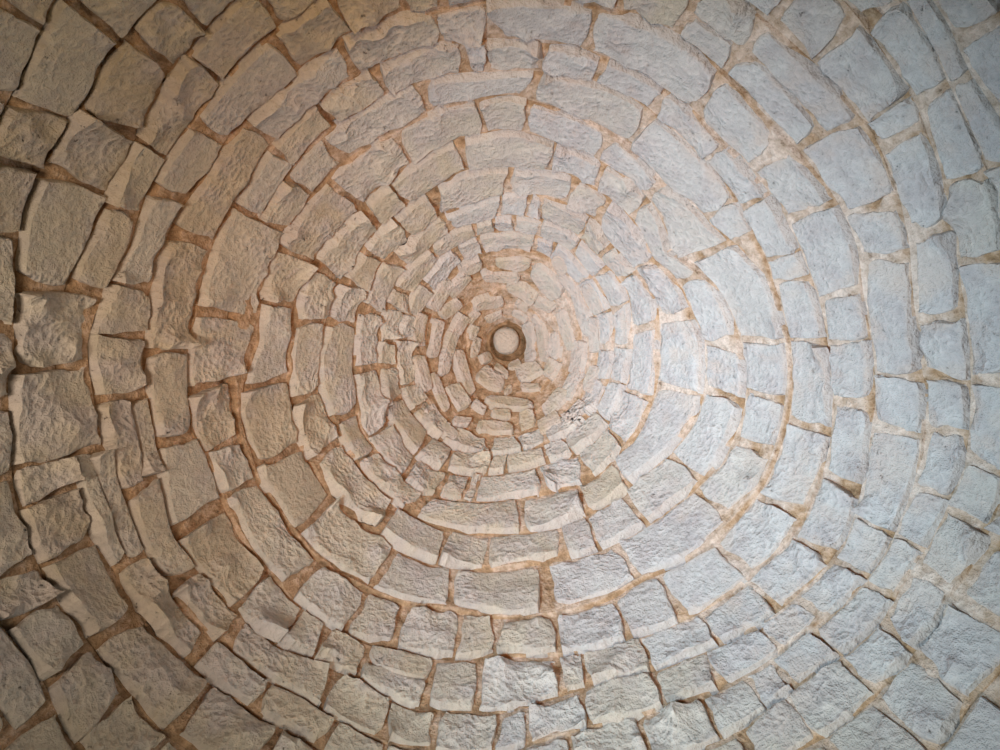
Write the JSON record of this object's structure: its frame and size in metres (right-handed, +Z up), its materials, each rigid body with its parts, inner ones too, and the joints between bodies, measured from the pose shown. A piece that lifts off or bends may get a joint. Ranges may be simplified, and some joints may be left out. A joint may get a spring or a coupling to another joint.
{
  "type": "corbelled trullo dome",
  "caption": "Hollow dry-stone dome of a trullo: ring courses oversail inwards to a keystone, under a conical roof of thin limestone slabs with a plain pinnacle.",
  "frame": {"origin": "centre of the dome's springing bed, the flat ring that it stands on", "axes": "+Z up along the dome's axis; X and Y level, the dome being round"},
  "size_m": [5.5698, 5.5698, 5.3995],
  "materials": {
    "limestone": "rough",
    "rubble": "rough",
    "roof_slabs": "rough",
    "limewash": "matte"
  },
  "bodies": {
    "root": {"course_01": "limestone", "course_02": "limestone", "course_03": "limestone", "course_04": "limestone", "course_05": "limestone", "course_06": "limestone", "course_07": "limestone", "course_08": "limestone", "course_09": "limestone", "course_10": "limestone", "course_11": "limestone", "course_12": "limestone", "course_13": "limestone", "course_14": "limestone", "course_15": "limestone", "course_16": "limestone", "course_17": "limestone", "course_18": "limestone", "course_19": "limestone", "course_20": "limestone", "course_21": "limestone", "course_22": "limestone", "course_23": "limestone", "course_24": "limestone", "course_25": "limestone", "course_26": "limestone", "course_27": "limestone", "course_28": "limestone", "course_29": "limestone", "course_30": "limestone", "keystone": "limestone", "rubble_core": "rubble", "eaves_course": "roof_slabs", "roof_band_01": "roof_slabs", "roof_band_02": "roof_slabs", "roof_band_03": "roof_slabs", "roof_band_04": "roof_slabs", "roof_band_05": "roof_slabs", "roof_band_06": "roof_slabs", "roof_band_07": "roof_slabs", "roof_band_08": "roof_slabs", "pinnacle_seat": "limewash", "pinnacle_block": "limewash", "pinnacle_disc": "limewash", "pinnacle_ball": "limewash"}
  },
  "joints": []
}
